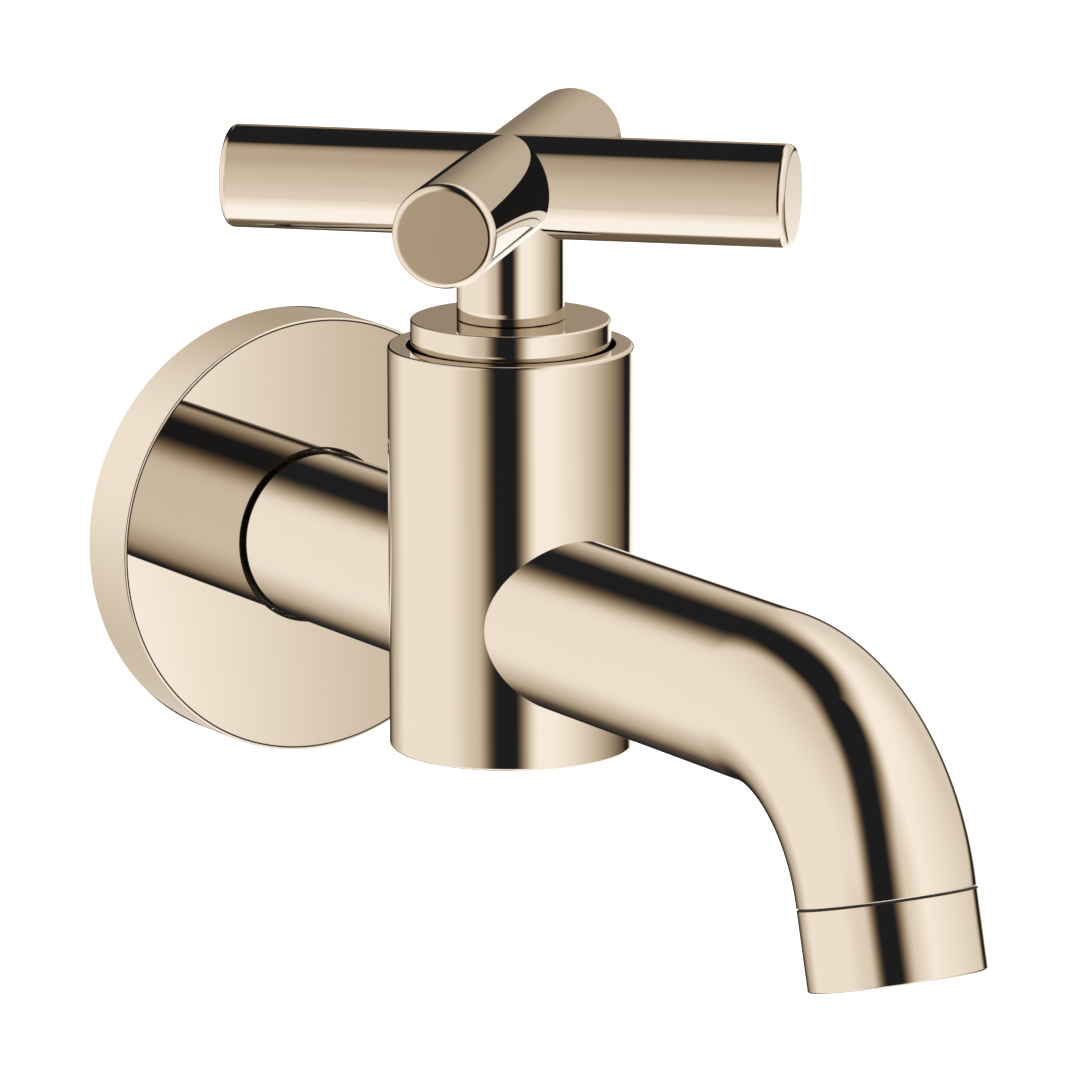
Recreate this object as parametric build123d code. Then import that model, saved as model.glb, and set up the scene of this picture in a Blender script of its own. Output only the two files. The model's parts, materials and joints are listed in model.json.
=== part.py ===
from build123d import *
import os
from math import cos, hypot, pi, radians, sin

# Wall-mounted basin tap, single supply, cross handle and bent spout. All sizes in millimetres.
#
# Frame: the finished wall is the plane Y = 0 and +Y points into it. The inlet pipe and the straight
# run of the spout share the Y axis, the tap stands out from the wall along -Y, and +Z is up.
# The origin is where the axis of the inlet thread meets the face of the wall.

# Rosette
rosette_diameter = 55.7
rosette_thickness = 9.0
rosette_plate = 2.0
rosette_rim = 3.0
rosette_edge_radius = 0.3
rosette_hole_gap = 0.4
rosette_boss_wall = 3.0
rosette_boss_length = 5.0
gasket_width = 3.4
gasket_thickness = 1.6
gasket_rebate = 1.5

# Inlet: pipe, nipple with G 1/2 outside thread, strainer
pipe_diameter = 21.4
pipe_wall = 2.7
pipe_end_distance = 2.0
wall_thread_diameter = 20.955
wall_thread_depth = 13.0
wall_thread_chamfer = 1.0
pipe_thread_wall = 1.7
nipple_spigot_length = 12.0
nipple_key_size = 10.0
nipple_groove_setback = 1.0
strainer_thickness = 0.8
strainer_hole_diameter = 1.6
strainer_hole_pitch = 2.6
strainer_rim = 1.0

# Valve body
body_axis_distance = 55.8
body_diameter = 30.0
body_above_axis = 32.4
body_below_axis = 17.4
body_floor = 4.0
body_edge_radius = 0.4
body_rim_width = 2.05
recess_depth = 10.0
chamber_diameter = 15.0
seat_bore_diameter = 8.4
port_diameter = 6.8
port_offset = 4.4
socket_web = 2.9
socket_wall = 1.5

# Spout
spout_diameter = 21.1
spout_wall = 2.2
spout_straight_run = 57.5
spout_bend_radius = 24.6
spout_bend_angle = 75.5
spout_end_run = 0.4
spout_thread_length = 3.4
spout_thread_wall = 1.0

# Aerator
aerator_length = 9.8
aerator_seam = 0.2
aerator_edge_radius = 0.3
aerator_seal_thickness = 0.8
aerator_flange_thickness = 1.1
aerator_seat_overlap = 1.2
aerator_insert_wall = 0.8
aerator_insert_rise = 1.6
aerator_recess = 0.8
jet_plate_thickness = 1.2
jet_diameter = 1.0
jet_count = 12
screen_thickness = 0.5
screen_hole_diameter = 1.0
screen_hole_pitch = 1.7
screen_rim = 0.8
honeycomb_depth = 2.5
honeycomb_cell = 1.7
honeycomb_web = 0.35
honeycomb_rim = 0.6

# Collar
collar_gap = 0.75
collar_standing = 3.2
collar_plate = 3.0
collar_wall = 2.7
collar_edge_radius = 0.25
collar_spindle_gap = 0.6
collar_foot_gap = 0.3
collar_ring_height = 2.6

# Headwork with G 3/8 outside thread and quarter-turn ceramic discs
headwork_thread_diameter = 16.66
headwork_thread_length = 10.0
headwork_reach = 22.4
headwork_flange_gap = 2.35
headwork_flange_thickness = 2.2
headwork_key_height = 5.0
headwork_neck_diameter = 13.2
housing_water_gap = 1.1
housing_wall = 1.0
housing_window_width = 8.0
seat_seal_thickness = 1.6
disc_thickness = 2.6
disc_opening_inner = 1.8
disc_opening_rim = 1.3
disc_opening_angle = 80.0
handle_turn_angle = 90.0

# Spindle
spindle_diameter = 8.0
spindle_flange_thickness = 1.4
spindle_blade_width = 2.4
spindle_blade_inset = 0.6
spindle_blade_depth = 1.2
spindle_window_height = 3.4
spline_teeth = 20
spline_depth = 0.4
glide_washer_thickness = 0.5
stop_rib_angle = 40.0
stop_clearance_angle = 2.0
spindle_ring_spacing = 3.2
spindle_ring_count = 2
circlip_thickness = 0.7
circlip_width = 1.6
circlip_groove_depth = 0.6
circlip_gap_angle = 50.0
circlip_headroom = 0.3

# Handle
stem_diameter = 13.1
stem_gap = 0.3
stem_wall = 1.3
stem_roof = 1.5
stem_peg_diameter = 8.0
stem_peg_length = 4.5
handle_height = 16.3
bar_diameter = 12.6
bar_span = 69.9
bar_edge_radius = 0.5
bar_angles = (45.0, 135.0)
insert_setback = 0.5
grub_screw_diameter = 4.0
grub_screw_setback = 0.3
grub_screw_key_size = 2.0
grub_screw_key_depth = 1.3
grub_screw_bite = 0.7

# Rubber rings and clearances
ring_section = 1.6
ring_side_room = 0.1
running_clearance = 0.05
fit_clearance = 0.05
thread_clearance = 0.1
face_clearance = 0.05
loose_clearance = 0.3

# Radii that several pieces share
rosette_radius = rosette_diameter / 2
pipe_radius = pipe_diameter / 2
pipe_bore_radius = pipe_radius - pipe_wall
body_radius = body_diameter / 2
recess_radius = body_radius - body_rim_width
chamber_radius = chamber_diameter / 2
seat_bore_radius = seat_bore_diameter / 2
spout_radius = spout_diameter / 2
spout_bore_radius = spout_radius - spout_wall
collar_radius = recess_radius - collar_gap
headwork_thread_radius = headwork_thread_diameter / 2
headwork_flange_radius = recess_radius - headwork_flange_gap
key_corner_radius = collar_radius - collar_wall - loose_clearance
headwork_key_size = 2 * key_corner_radius * cos(pi / 6)
lower_housing_radius = chamber_radius - housing_water_gap
disc_room_radius = lower_housing_radius - housing_wall
disc_opening_outer = disc_room_radius - disc_opening_rim
turning_radius = disc_room_radius - loose_clearance
spindle_blade_length = 2 * (turning_radius - spindle_blade_inset)
spindle_radius = spindle_diameter / 2
spindle_bore_radius = spindle_radius + running_clearance
stem_radius = stem_diameter / 2
pocket_radius = stem_radius - stem_wall
bar_radius = bar_diameter / 2
nipple_spigot_radius = pipe_radius - pipe_thread_wall
ring_groove_width = ring_section + 2 * ring_side_room

# Heights on the valve body's axis: the headwork hangs in the recess and sets the height of the seat
recess_floor = body_above_axis - recess_depth
seat_height = recess_floor - headwork_reach
seat_seal_top = seat_height + seat_seal_thickness
fixed_disc_top = seat_seal_top + disc_thickness
turning_disc_bottom = fixed_disc_top + face_clearance
turning_disc_top = turning_disc_bottom + disc_thickness
spindle_flange_bottom = turning_disc_top + spindle_window_height
spindle_flange_top = spindle_flange_bottom + spindle_flange_thickness
glide_washer_bottom = spindle_flange_top + face_clearance
disc_room_top = glide_washer_bottom + glide_washer_thickness
thread_bottom = recess_floor - ring_groove_width - headwork_thread_length
headwork_flange_top = recess_floor + headwork_flange_thickness
headwork_key_top = headwork_flange_top + headwork_key_height
collar_bottom = headwork_flange_top + collar_foot_gap
collar_top = body_above_axis + collar_standing
collar_plate_bottom = collar_top - collar_plate
circlip_top = collar_plate_bottom - circlip_headroom
circlip_bottom = circlip_top - circlip_thickness
neck_top = circlip_bottom - 2 * face_clearance
stem_bottom = collar_top + stem_gap
handle_centre = collar_top + handle_height
bars_bottom = handle_centre - bar_radius
pocket_top = bars_bottom - stem_roof
spindle_top = pocket_top - loose_clearance
grub_screw_height = (stem_bottom + pocket_top) / 2

# Distances from the wall along the inlet
nipple_end_distance = pipe_end_distance + nipple_spigot_length
strainer_start = nipple_end_distance + face_clearance
strainer_end = strainer_start + strainer_thickness

# Distance from the valve body's axis to the flat bottom of the pipe and spout sockets
socket_floor_distance = chamber_radius + socket_web
pipe_spigot_radius = pipe_radius - socket_wall
spout_spigot_radius = spout_radius - socket_wall + 2 * fit_clearance

# Aerator, measured along the flow from the end face of the spout tube
spout_thread_radius = spout_bore_radius + spout_thread_wall
aerator_seal_start = spout_thread_length + face_clearance
aerator_flange_start = aerator_seal_start + aerator_seal_thickness + face_clearance
aerator_shoulder = aerator_flange_start + aerator_flange_thickness + face_clearance
aerator_flange_radius = spout_thread_radius - fit_clearance
aerator_outlet_radius = spout_thread_radius - aerator_seat_overlap
aerator_insert_radius = min(aerator_outlet_radius, spout_bore_radius) - fit_clearance
aerator_inner_radius = aerator_insert_radius - aerator_insert_wall
aerator_face = aerator_length - aerator_recess

on_floor = (Align.CENTER, Align.CENTER, Align.MIN)


def rod(radius, bottom, top):
    """A round bar on the Z axis between two heights."""
    return Pos(0, 0, bottom) * Cylinder(radius, top - bottom, align=on_floor)


def tube(outer_radius, inner_radius, bottom, top):
    """A round tube on the Z axis between two heights."""
    return rod(outer_radius, bottom, top) - rod(inner_radius, bottom, top)


def hexagon(key_size, bottom, top):
    """A hexagonal bar on the Z axis, measured across its flats."""
    outline = RegularPolygon(key_size / 2, 6, major_radius=False)
    return Pos(0, 0, bottom) * extrude(outline, top - bottom)


def sector(inner_radius, outer_radius, middle_angle, sweep_angle, bottom, top):
    """A piece of a ring about the Z axis, centred on one direction."""
    width = outer_radius - inner_radius
    height = top - bottom
    centre = ((inner_radius + outer_radius) / 2, (bottom + top) / 2)
    section = Plane.XZ * Pos(*centre) * Rectangle(width, height)
    return Rot(Z=middle_angle - sweep_angle / 2) * revolve(section, Axis.Z, sweep_angle)


def rubber_ring(inner_radius, middle_height):
    """A rubber ring of the common section, lying flat about the Z axis."""
    return Pos(0, 0, middle_height) * Torus(inner_radius + ring_section / 2, ring_section / 2)


def honeycomb_centres(pitch, reach):
    """Centres of a hexagonal pattern about the Z axis, row by row, as far out as the reach."""
    rows = int(reach / (pitch * sin(pi / 3)))
    columns = int(reach / pitch) + 1
    centres = []
    for row in range(-rows, rows + 1):
        for column in range(-columns, columns + 1):
            x = (column + row % 2 / 2) * pitch
            y = row * pitch * sin(pi / 3)
            if hypot(x, y) < reach:
                centres.append((x, y))
    return centres


def holes(radius, pitch, reach, bottom, top):
    """Round holes on a hexagonal pattern about the Z axis."""
    drill = rod(radius, bottom, top)
    return [Pos(x, y, 0) * drill for x, y in honeycomb_centres(pitch, reach)]


def edges_at(shape, height, radius):
    """The round edge of one radius at one height."""
    return [
        edge
        for edge in shape.edges().filter_by(GeomType.CIRCLE)
        if abs(edge.radius - radius) < running_clearance
        and abs(edge.center().Z - height) < running_clearance
    ]


def out_of_wall(shape):
    """Lay a shape from the Z axis along the inlet, its height becoming its distance from the wall."""
    return Rot(X=90) * shape


def on_body_axis(shape):
    """Carry a shape from the Z axis to the valve body's axis."""
    return Pos(0, -body_axis_distance, 0) * shape


def along_inlet(radius, near, far):
    """A round bar on the inlet's axis, between two distances behind the valve body's axis."""
    return Rot(X=-90) * rod(radius, near, far)


def along_spout(radius, near, far):
    """A round bar on the spout's axis, between two distances in front of the valve body's axis."""
    return Rot(X=90) * rod(radius, near, far)


# Rosette, slides on the inlet pipe


def wall_rosette():
    """Round cover plate, hollow behind, with a boss that holds the ring which grips the pipe."""
    hole_radius = pipe_radius + rosette_hole_gap
    plate_back = rosette_thickness - rosette_plate
    rim_inner_radius = rosette_radius - rosette_rim
    boss_radius = hole_radius + rosette_boss_wall
    disc = rod(rosette_radius, 0, rosette_thickness)
    disc = fillet(edges_at(disc, rosette_thickness, rosette_radius), rosette_edge_radius)
    hollow = tube(rim_inner_radius, boss_radius, 0, plate_back)
    boss_relief = rod(boss_radius, 0, plate_back - rosette_boss_length)
    hole = rod(hole_radius, 0, rosette_thickness)
    groove_middle = rosette_ring_distance()
    groove_radius = pipe_radius + running_clearance + ring_section + fit_clearance
    groove_bottom = groove_middle - ring_groove_width / 2
    groove = rod(groove_radius, groove_bottom, groove_bottom + ring_groove_width)
    rebate = rod(rim_inner_radius + gasket_rebate, 0, gasket_thickness)
    return out_of_wall(disc - hollow - boss_relief - hole - groove - rebate)


def rosette_ring_distance():
    """Distance of the rosette's ring from the wall, at the middle of the boss."""
    return rosette_thickness - rosette_plate - rosette_boss_length / 2


def rosette_o_ring():
    """Rubber ring in the boss that holds the rosette on the pipe."""
    return out_of_wall(rubber_ring(pipe_radius + running_clearance, rosette_ring_distance()))


def rosette_gasket():
    """Foam ring that seals the rosette to the wall."""
    outer_radius = rosette_radius - rosette_rim + gasket_rebate - fit_clearance
    return out_of_wall(tube(outer_radius, outer_radius - gasket_width, 0, gasket_thickness))


# Inlet


def inlet_pipe():
    """Pipe from the wall to the valve body, its end shaped to the body and let into a socket there."""
    pipe = out_of_wall(rod(pipe_radius, pipe_end_distance, body_axis_distance))
    pipe -= on_body_axis(rod(body_radius, -body_below_axis, body_above_axis))
    spigot_tip = socket_floor_distance + face_clearance
    pipe += on_body_axis(along_inlet(pipe_spigot_radius, spigot_tip, body_radius))
    thread_bore = rod(nipple_spigot_radius + thread_clearance, 0, strainer_end + face_clearance)
    bore = rod(pipe_bore_radius, 0, body_axis_distance)
    return pipe - out_of_wall(thread_bore) - out_of_wall(bore)


def nipple_ring_distance():
    """Distance of the nipple's ring groove from the wall, at its middle."""
    return nipple_end_distance - nipple_groove_setback - ring_groove_width / 2


def wall_nipple():
    """Threaded nipple: large thread into the wall, small thread into the pipe, hexagon inside."""
    thread_radius = wall_thread_diameter / 2
    thread = rod(thread_radius, -wall_thread_depth, pipe_end_distance - face_clearance)
    thread = chamfer(edges_at(thread, -wall_thread_depth, thread_radius), wall_thread_chamfer)
    spigot = rod(nipple_spigot_radius, 0, nipple_end_distance)
    middle = nipple_ring_distance()
    groove = tube(
        nipple_spigot_radius + thread_clearance,
        nipple_spigot_radius + thread_clearance - ring_section - fit_clearance,
        middle - ring_groove_width / 2,
        middle + ring_groove_width / 2,
    )
    key_hole = hexagon(nipple_key_size, -wall_thread_depth, nipple_end_distance)
    return out_of_wall(thread + spigot - groove - key_hole)


def nipple_o_ring():
    """Rubber ring that seals the nipple inside the pipe."""
    inner_radius = nipple_spigot_radius + thread_clearance - ring_section
    return out_of_wall(rubber_ring(inner_radius, nipple_ring_distance()))


def inlet_strainer():
    """Perforated disc between the nipple and the shoulder in the pipe."""
    disc = rod(nipple_spigot_radius, strainer_start, strainer_end)
    hole_radius = strainer_hole_diameter / 2
    reach = pipe_bore_radius - strainer_rim - hole_radius
    disc -= holes(hole_radius, strainer_hole_pitch, reach, strainer_start, strainer_end)
    return out_of_wall(disc)


# Valve body and collar


def valve_body():
    """Upright body with a recess on top, the headwork's thread, the seat and the two water ports."""
    body = rod(body_radius, -body_below_axis, body_above_axis)
    rims = edges_at(body, body_above_axis, body_radius) + edges_at(body, -body_below_axis, body_radius)
    body = fillet(rims, body_edge_radius)
    body -= rod(recess_radius, recess_floor, body_above_axis)
    ring_seat_radius = headwork_thread_radius + ring_section + fit_clearance
    body -= rod(ring_seat_radius, recess_floor - ring_groove_width, recess_floor)
    body -= rod(headwork_thread_radius + thread_clearance, thread_bottom, recess_floor)
    body -= rod(chamber_radius, seat_height, thread_bottom)
    body -= rod(seat_bore_radius, -body_below_axis + body_floor, seat_height)
    body -= along_inlet(pipe_spigot_radius + fit_clearance, socket_floor_distance, body_radius)
    body -= along_spout(spout_spigot_radius + fit_clearance, socket_floor_distance, body_radius)
    body -= Pos(0, 0, seat_height - port_offset) * along_inlet(port_diameter / 2, 0, body_radius)
    body -= Pos(0, 0, seat_height + port_offset) * along_spout(port_diameter / 2, 0, body_radius)
    return on_body_axis(body)


def collar_ring_middle():
    """Height of the ring groove in the collar's skirt, at its middle."""
    return collar_bottom + collar_ring_height


def collar_groove_radius():
    """Radius of the floor of the collar's ring groove."""
    return recess_radius - fit_clearance - ring_section


def collar():
    """Cover over the headwork's hexagon, a skirt in the recess and a plate round the spindle."""
    cover = rod(collar_radius, collar_bottom, collar_top)
    cover = fillet(edges_at(cover, collar_top, collar_radius), collar_edge_radius)
    cover -= rod(collar_radius - collar_wall, collar_bottom, collar_plate_bottom)
    cover -= rod(spindle_radius + collar_spindle_gap, collar_plate_bottom, collar_top)
    middle = collar_ring_middle()
    groove = tube(
        collar_radius,
        collar_groove_radius() - fit_clearance,
        middle - ring_groove_width / 2,
        middle + ring_groove_width / 2,
    )
    return on_body_axis(cover - groove)


def collar_o_ring():
    """Rubber ring that holds the collar in the body's recess."""
    return on_body_axis(rubber_ring(collar_groove_radius(), collar_ring_middle()))


# Headwork, the pieces that stay still


def headwork_housing():
    """Screwed-in housing of the valve: disc room with two windows, thread, flange, hexagon and neck."""
    housing = rod(lower_housing_radius, seat_seal_top, recess_floor)
    housing += rod(headwork_thread_radius, thread_bottom, recess_floor)
    housing += rod(headwork_flange_radius, recess_floor, headwork_flange_top)
    housing += hexagon(headwork_key_size, headwork_flange_top, headwork_key_top)
    housing += rod(headwork_neck_diameter / 2, headwork_flange_top, neck_top)
    housing -= rod(disc_room_radius, seat_seal_top, disc_room_top)
    housing -= rod(spindle_bore_radius, disc_room_top, neck_top)
    window = Box(2 * lower_housing_radius, housing_window_width, spindle_window_height, align=on_floor)
    housing -= Pos(0, 0, turning_disc_top) * window
    housing += sector(stop_rib_inner_radius(), disc_room_radius + housing_wall / 2, 90, stop_rib_angle,
                      spindle_flange_bottom, spindle_flange_top)
    return on_body_axis(housing)


def stop_rib_inner_radius():
    """Inner radius of the rib in the disc room that limits the turn."""
    return (spindle_radius + disc_room_radius) / 2


def seat_seal():
    """Rubber ring between the seat, the housing and the fixed disc."""
    return on_body_axis(tube(lower_housing_radius, seat_bore_radius, seat_height, seat_seal_top))


def housing_o_ring():
    """Rubber ring under the headwork's flange."""
    middle = recess_floor - ring_groove_width / 2
    return on_body_axis(rubber_ring(headwork_thread_radius + fit_clearance / 2, middle))


def disc_openings(first_angle, bottom, top):
    """The two opposite openings of a ceramic disc."""
    return [
        sector(disc_opening_inner, disc_opening_outer, middle_angle, disc_opening_angle, bottom, top)
        for middle_angle in (first_angle, first_angle + 180)
    ]


def fixed_ceramic_disc():
    """Lower disc, held still by the housing, with its openings left and right."""
    disc = rod(disc_room_radius - fit_clearance, seat_seal_top, fixed_disc_top)
    disc -= disc_openings(0, seat_seal_top, fixed_disc_top)
    return on_body_axis(disc)


def glide_washer():
    """Low-friction washer between the spindle's flange and the housing."""
    outer_radius = stop_rib_inner_radius() - fit_clearance
    return on_body_axis(tube(outer_radius, spindle_bore_radius, glide_washer_bottom, disc_room_top))


# Headwork, the pieces that turn with the handle


def turning_ceramic_disc():
    """Upper disc, a quarter turn from its open position at rest, with a slot for the spindle's blade."""
    disc = rod(turning_radius, turning_disc_bottom, turning_disc_top)
    disc -= disc_openings(handle_turn_angle, turning_disc_bottom, turning_disc_top)
    slot = Box(spindle_blade_length + 2 * fit_clearance, spindle_blade_width + 2 * fit_clearance,
               spindle_blade_depth, align=on_floor)
    return on_body_axis(disc - Pos(0, 0, turning_disc_top - spindle_blade_depth) * slot)


def spline(root_radius, tip_radius, bottom, top):
    """A bar with a serrated outline on the Z axis."""
    outline = []
    for step in range(2 * spline_teeth):
        radius = tip_radius if step % 2 else root_radius
        angle = step * pi / spline_teeth
        outline.append((radius * cos(angle), radius * sin(angle)))
    return Pos(0, 0, bottom) * extrude(make_face(Polyline(*outline, close=True)), top - bottom)


def spindle_ring_heights():
    """Middle heights of the rubber rings on the spindle, counted down from the housing's neck."""
    return [neck_top - spindle_ring_spacing * (place + 1) for place in range(spindle_ring_count)]


def spindle():
    """Shaft from the turning disc to the handle: blade, stop flange, ring grooves and spline."""
    spline_bottom = collar_top
    blade_bottom = turning_disc_top - spindle_blade_depth + face_clearance
    blade = Box(spindle_blade_length, spindle_blade_width, spindle_flange_bottom - blade_bottom,
                align=on_floor)
    shaft = rod(spindle_radius, spindle_flange_bottom, spline_bottom)
    shaft += rod(turning_radius, spindle_flange_bottom, spindle_flange_top)
    shaft -= sector(
        stop_rib_inner_radius() - loose_clearance,
        disc_room_radius,
        90 - handle_turn_angle / 2,
        stop_rib_angle + handle_turn_angle + 2 * stop_clearance_angle,
        spindle_flange_bottom,
        spindle_flange_top,
    )
    shaft += Pos(0, 0, blade_bottom) * blade
    for middle in spindle_ring_heights():
        shaft -= tube(spindle_radius, spindle_radius - ring_section - fit_clearance,
                      middle - ring_groove_width / 2, middle + ring_groove_width / 2)
    shaft -= tube(spindle_radius, spindle_radius - circlip_groove_depth,
                  circlip_bottom - face_clearance, circlip_top + face_clearance)
    shaft += spline(spindle_radius - spline_depth, spindle_radius, spline_bottom, spindle_top)
    grub_screw_radius = grub_screw_diameter / 2 + thread_clearance
    shaft -= tube(spindle_radius, spindle_radius - grub_screw_bite,
                  grub_screw_height - grub_screw_radius, grub_screw_height + grub_screw_radius)
    return on_body_axis(shaft)


def spindle_o_rings():
    """Rubber rings that seal the spindle in the housing."""
    inner_radius = spindle_radius - ring_section
    return Compound([on_body_axis(rubber_ring(inner_radius, middle)) for middle in spindle_ring_heights()])


def spindle_circlip():
    """Spring clip in the spindle's groove, open on one side, that holds the spindle down."""
    inner_radius = spindle_radius - circlip_groove_depth + fit_clearance
    clip = tube(inner_radius + circlip_width, inner_radius, circlip_bottom, circlip_top)
    clip -= sector(0, inner_radius + 2 * circlip_width, 180, circlip_gap_angle, circlip_bottom, circlip_top)
    return on_body_axis(clip)


# Handle


def grub_screw_hole():
    """The threaded hole on the wall side of the stem."""
    hole = along_inlet(grub_screw_diameter / 2 + thread_clearance, 0, stem_radius)
    return Pos(0, 0, grub_screw_height) * hole


def on_bar_axis(angle, shape):
    """Carry a shape from the Z axis to the axis of one bar."""
    return Pos(0, 0, handle_centre) * Rot(Z=angle) * Rot(Y=90) * shape


def handle_bar(angle):
    """One bar through the handle's centre, its ends rounded."""
    bar = rod(bar_radius, -bar_span / 2, bar_span / 2)
    rims = edges_at(bar, bar_span / 2, bar_radius) + edges_at(bar, -bar_span / 2, bar_radius)
    bar = fillet(rims, bar_edge_radius)
    return on_bar_axis(angle, bar)


def handle_cross():
    """Two bars that cross at right angles, with a blind hole below for the stem's peg."""
    cross = handle_bar(bar_angles[0]) + handle_bar(bar_angles[1])
    hole_top = bars_bottom + stem_peg_length + loose_clearance
    cross -= rod(stem_peg_diameter / 2 + fit_clearance, bars_bottom - bar_radius, hole_top)
    return on_body_axis(cross)


def handle_stem():
    """Sleeve under the bars, shaped to them on top, with a peg above and a pocket below."""
    stem = rod(stem_radius, stem_bottom, handle_centre)
    bar = rod(bar_radius, -bar_span / 2, bar_span / 2)
    for angle in bar_angles:
        stem -= on_bar_axis(angle, bar)
    stem += rod(stem_peg_diameter / 2, pocket_top, bars_bottom + stem_peg_length)
    stem -= rod(pocket_radius, stem_bottom, pocket_top)
    return on_body_axis(stem - grub_screw_hole())


def handle_insert():
    """Bush in the stem's pocket with the inside spline."""
    bush = rod(pocket_radius - fit_clearance, stem_bottom + insert_setback, pocket_top)
    bush -= spline(spindle_radius - spline_depth + fit_clearance, spindle_radius + fit_clearance,
                   stem_bottom, pocket_top)
    return on_body_axis(bush - grub_screw_hole())


def handle_grub_screw():
    """Screw with a hexagon socket that clamps the handle to the spindle."""
    tip = spindle_radius - grub_screw_bite + face_clearance
    head = stem_radius - grub_screw_setback
    screw = rod(grub_screw_diameter / 2, tip, head)
    screw -= hexagon(grub_screw_key_size, head - grub_screw_key_depth, head)
    return on_body_axis(Pos(0, 0, grub_screw_height) * Rot(X=-90) * screw)


# Spout and aerator


def spout_rod(radius, start, end_run):
    """A round bar along the spout's centre line: straight out, round the bend, then the end run."""
    straight = along_spout(radius, start, spout_straight_run)
    bend_axis = Axis((0, -spout_straight_run, -spout_bend_radius), (1, 0, 0))
    section = Plane((0, -spout_straight_run, 0), x_dir=(1, 0, 0), z_dir=(0, -1, 0)) * Circle(radius)
    bend = revolve(section, bend_axis, spout_bend_angle)
    end = spout_end_location(0) * rod(radius, 0, end_run)
    return straight + bend + end


def spout_end_location(along):
    """Place at a distance past the end of the bend, with Z along the flow."""
    turn = radians(spout_bend_angle)
    flow = Vector(0, -cos(turn), -sin(turn))
    bend_end = Vector(0, -spout_straight_run - spout_bend_radius * sin(turn),
                      -spout_bend_radius * (1 - cos(turn)))
    return Plane(bend_end + flow * along, x_dir=(1, 0, 0), z_dir=flow).location


def spout_tube():
    """Bent tube, shaped to the body at one end and threaded for the aerator at the other."""
    spout = spout_rod(spout_radius, 0, spout_end_run)
    spout -= rod(body_radius, -body_below_axis, body_above_axis)
    spigot_tip = socket_floor_distance + face_clearance
    spout += along_spout(spout_spigot_radius, spigot_tip, body_radius)
    spout += spout_end_location(spout_end_run) * rod(spout_thread_radius, 0, spout_thread_length)
    spout -= spout_rod(spout_bore_radius, 0, spout_end_run + spout_thread_length)
    return on_body_axis(spout)


def at_aerator(shape):
    """Carry a shape from the Z axis to the end face of the spout tube, Z along the flow."""
    return on_body_axis(spout_end_location(spout_end_run) * shape)


def aerator_ring():
    """Outer ring of the aerator, screwed on the tube with a fine seam between them."""
    ring = rod(spout_radius, aerator_seam, aerator_length)
    ring = fillet(edges_at(ring, aerator_length, spout_radius), aerator_edge_radius)
    ring -= rod(spout_thread_radius + thread_clearance, aerator_seam, aerator_shoulder)
    ring -= rod(aerator_outlet_radius, aerator_shoulder, aerator_length)
    return at_aerator(ring)


def aerator_seal():
    """Flat rubber ring between the tube and the aerator insert."""
    return at_aerator(tube(aerator_flange_radius, aerator_insert_radius + fit_clearance,
                           aerator_seal_start, aerator_seal_start + aerator_seal_thickness))


def aerator_insert():
    """Cup with a flange, open at both ends, with a plate of jets across it."""
    insert = rod(aerator_insert_radius, -aerator_insert_rise, aerator_face)
    insert += rod(aerator_flange_radius, aerator_flange_start, aerator_shoulder - face_clearance)
    insert -= rod(aerator_inner_radius, -aerator_insert_rise, 0)
    insert -= rod(aerator_inner_radius, jet_plate_thickness, aerator_face)
    jet_circle = aerator_inner_radius - jet_diameter
    jet = Pos(jet_circle, 0, 0) * rod(jet_diameter / 2, 0, jet_plate_thickness)
    insert -= [Rot(Z=place * 360 / jet_count) * jet for place in range(jet_count)]
    return at_aerator(insert)


def aerator_screen():
    """Perforated disc on top of the insert."""
    bottom = -aerator_insert_rise - screen_thickness
    screen = rod(aerator_insert_radius, bottom, -aerator_insert_rise)
    hole_radius = screen_hole_diameter / 2
    reach = aerator_inner_radius - screen_rim - hole_radius
    screen -= holes(hole_radius, screen_hole_pitch, reach, bottom, -aerator_insert_rise)
    return at_aerator(screen)


def aerator_honeycomb():
    """Outlet grid of hexagonal cells at the bottom of the insert."""
    bottom = aerator_face - honeycomb_depth
    grid_radius = aerator_inner_radius - fit_clearance
    grid = rod(grid_radius, bottom, aerator_face)
    cell = Rot(Z=30) * hexagon(honeycomb_cell, bottom, aerator_face)
    reach = grid_radius - honeycomb_rim - honeycomb_cell / 2 / cos(pi / 6)
    centres = honeycomb_centres(honeycomb_cell + honeycomb_web, reach)
    return at_aerator(grid - [Pos(x, y, 0) * cell for x, y in centres])


sub_parts = (
    wall_rosette, rosette_o_ring, rosette_gasket,
    inlet_pipe, wall_nipple, nipple_o_ring, inlet_strainer,
    valve_body, collar, collar_o_ring,
    headwork_housing, seat_seal, housing_o_ring, fixed_ceramic_disc, glide_washer,
    turning_ceramic_disc, spindle, spindle_o_rings, spindle_circlip,
    handle_cross, handle_stem, handle_insert, handle_grub_screw,
    spout_tube, aerator_ring, aerator_seal, aerator_insert, aerator_screen, aerator_honeycomb,
)

os.makedirs("parts", exist_ok=True)
for make in sub_parts:
    export_step(make(), f"parts/{make.__name__}.step")
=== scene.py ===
import json
from math import cos, pi, radians, sin, tan

import bpy
import numpy as np
from mathutils import Matrix, Vector


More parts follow.
